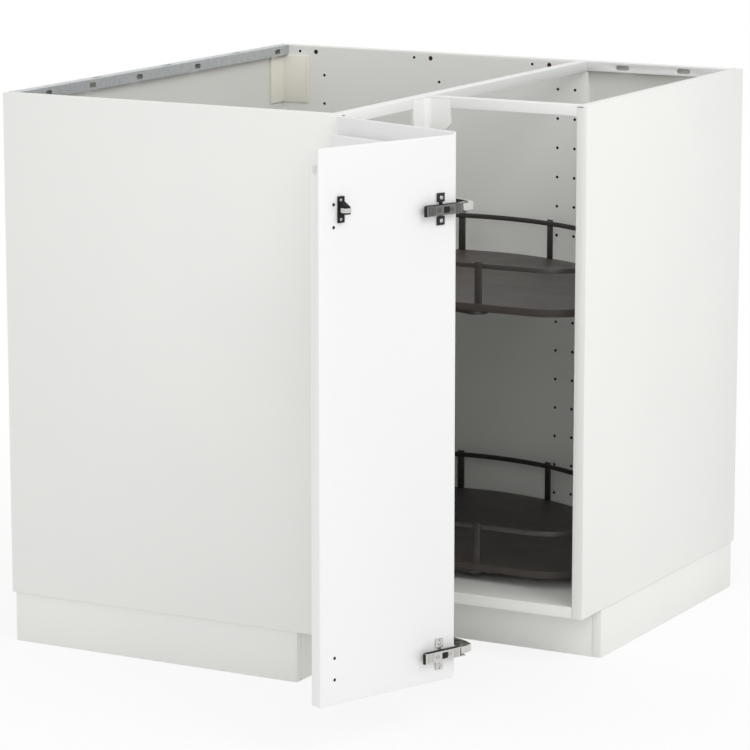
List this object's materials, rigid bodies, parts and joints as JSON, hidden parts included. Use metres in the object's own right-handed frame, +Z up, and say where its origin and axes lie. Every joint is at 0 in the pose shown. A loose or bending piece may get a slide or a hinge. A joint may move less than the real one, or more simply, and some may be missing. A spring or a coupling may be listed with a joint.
{
  "type": "corner carousel cabinet",
  "caption": "L-shaped corner base cabinet on legs with plinth boards, a hinged pair of folding door leaves and rotating railed trays on a central pole.",
  "frame": {"origin": "centre of the underside of the foot of the leg in the back corner, 60 mm in from both walls", "axes": "+X to the right along the rear wall, towards the right side board; +Y to the rear wall; +Z up"},
  "size_m": [0.875, 1.2183, 0.88],
  "materials": {
    "white_board": "satin white melamine-faced particleboard with edging",
    "white_door": "smooth white foil-faced fibreboard, satin",
    "back_sheet": "thin white lacquered fibreboard",
    "white_rail": "white powder-coated sheet steel",
    "galvanised_steel": "bare galvanised sheet steel with a faint spangle",
    "white_plastic": "moulded white plastic, satin",
    "cream_plastic": "moulded off-white plastic, satin",
    "black_plastic": "moulded black plastic, matt",
    "roller_plastic": "pale grey plastic roller, satin",
    "tray_board": "dark brown-grey lacquered board, matt",
    "dark_steel": "dark brown-black powder coat, fine texture",
    "nickel": "nickel-plated steel and zinc, bright"
  },
  "bodies": {
    "root": {"left_side_panel": "white_board", "rear_side_panel": "white_board", "right_side_panel": "white_board", "main_bottom_panel": "white_board", "wing_bottom_panel": "white_board", "plinth_left_side": "white_board", "plinth_left_front": "white_board", "plinth_right_front": "white_board", "plinth_right_side": "white_board", "main_back_board": "back_sheet", "wing_back_board": "back_sheet", "long_front_rail": "white_rail", "wing_front_rail": "white_rail", "wing_rear_rail": "white_rail", "rear_suspension_rail": "galvanised_steel", "front_corner_bracket": "white_plastic", "rear_corner_bracket": "cream_plastic", "leg_rear_corner": "black_plastic", "leg_left_rear": "black_plastic", "leg_left_front": "black_plastic", "leg_inner_front": "black_plastic", "leg_right_front": "black_plastic", "leg_right_rear": "black_plastic", "pole_floor_bearing": "black_plastic", "carousel_pole": "dark_steel", "upper_clamp_ring": "dark_steel", "pole_top_bracket": "dark_steel", "cabinet_hinge_plate_top": "nickel", "cabinet_hinge_plate_bottom": "nickel", "cabinet_hinge_arm_top": "nickel", "cabinet_hinge_arm_bottom": "nickel"},
    "door_left": {"door_leaf_left": "white_door", "cabinet_hinge_cup_top": "nickel", "cabinet_hinge_cup_bottom": "nickel", "fold_hinge_cup_top": "nickel", "fold_hinge_cup_bottom": "nickel"},
    "door_right": {"door_leaf_right": "white_door", "roller_bracket": "black_plastic", "fold_hinge_plate_top": "nickel", "fold_hinge_plate_bottom": "nickel", "fold_hinge_arm_top": "nickel", "fold_hinge_arm_bottom": "nickel"},
    "cabinet_hinge_links": {"cabinet_hinge_link_top": "nickel", "cabinet_hinge_link_bottom": "nickel"},
    "fold_hinge_links": {"fold_hinge_link_top": "nickel", "fold_hinge_link_bottom": "nickel"},
    "roller": {"guide_roller": "roller_plastic"},
    "upper_carousel": {"upper_tray": "tray_board", "upper_gallery": "dark_steel", "upper_hub": "dark_steel"},
    "lower_carousel": {"lower_tray": "tray_board", "lower_gallery": "dark_steel", "lower_hub": "dark_steel"}
  },
  "joints": [
    {"name": "door_swing", "type": "hinge", "parent": "root", "child": "door_left", "pos_m": [0.54, -0.815, 0.48], "axis": [0, 0, 1], "range_deg": [-41.3, 108.7]},
    {"name": "door_fold", "type": "hinge", "parent": "door_left", "child": "door_right", "pos_m": [0.77196, -0.91727, 0.48], "axis": [0, 0, 1], "range_deg": [-57.2, 2.8]},
    {"name": "cabinet_link_turn", "type": "hinge", "parent": "root", "child": "cabinet_hinge_links", "pos_m": [0.5475, -0.8014, 0.48], "axis": [0, 0, 1], "range_deg": [-51.7, 135.9]},
    {"name": "fold_link_turn", "type": "hinge", "parent": "door_right", "child": "fold_hinge_links", "pos_m": [0.80038, -0.91879, 0.48], "axis": [0, 0, 1], "range_deg": [-1.3, 26.4]},
    {"name": "guide_roller_spin", "type": "hinge", "parent": "door_right", "child": "roller", "pos_m": [0.72487, -1.12711, 0.791], "axis": [0, 0, 1], "continuous": true},
    {"name": "upper_carousel_turn", "type": "hinge", "parent": "root", "child": "upper_carousel", "pos_m": [0.377, -0.377, 0.548], "axis": [0, 0, 1], "range_deg": [-360, 360]},
    {"name": "lower_carousel_turn", "type": "hinge", "parent": "root", "child": "lower_carousel", "pos_m": [0.377, -0.377, 0.128], "axis": [0, 0, 1], "range_deg": [-360, 360]}
  ],
  "couplings": [
    {"joint": "cabinet_link_turn", "follows": "door_swing", "ratio": 1.25},
    {"joint": "fold_link_turn", "follows": "door_fold", "ratio": -0.46}
  ]
}
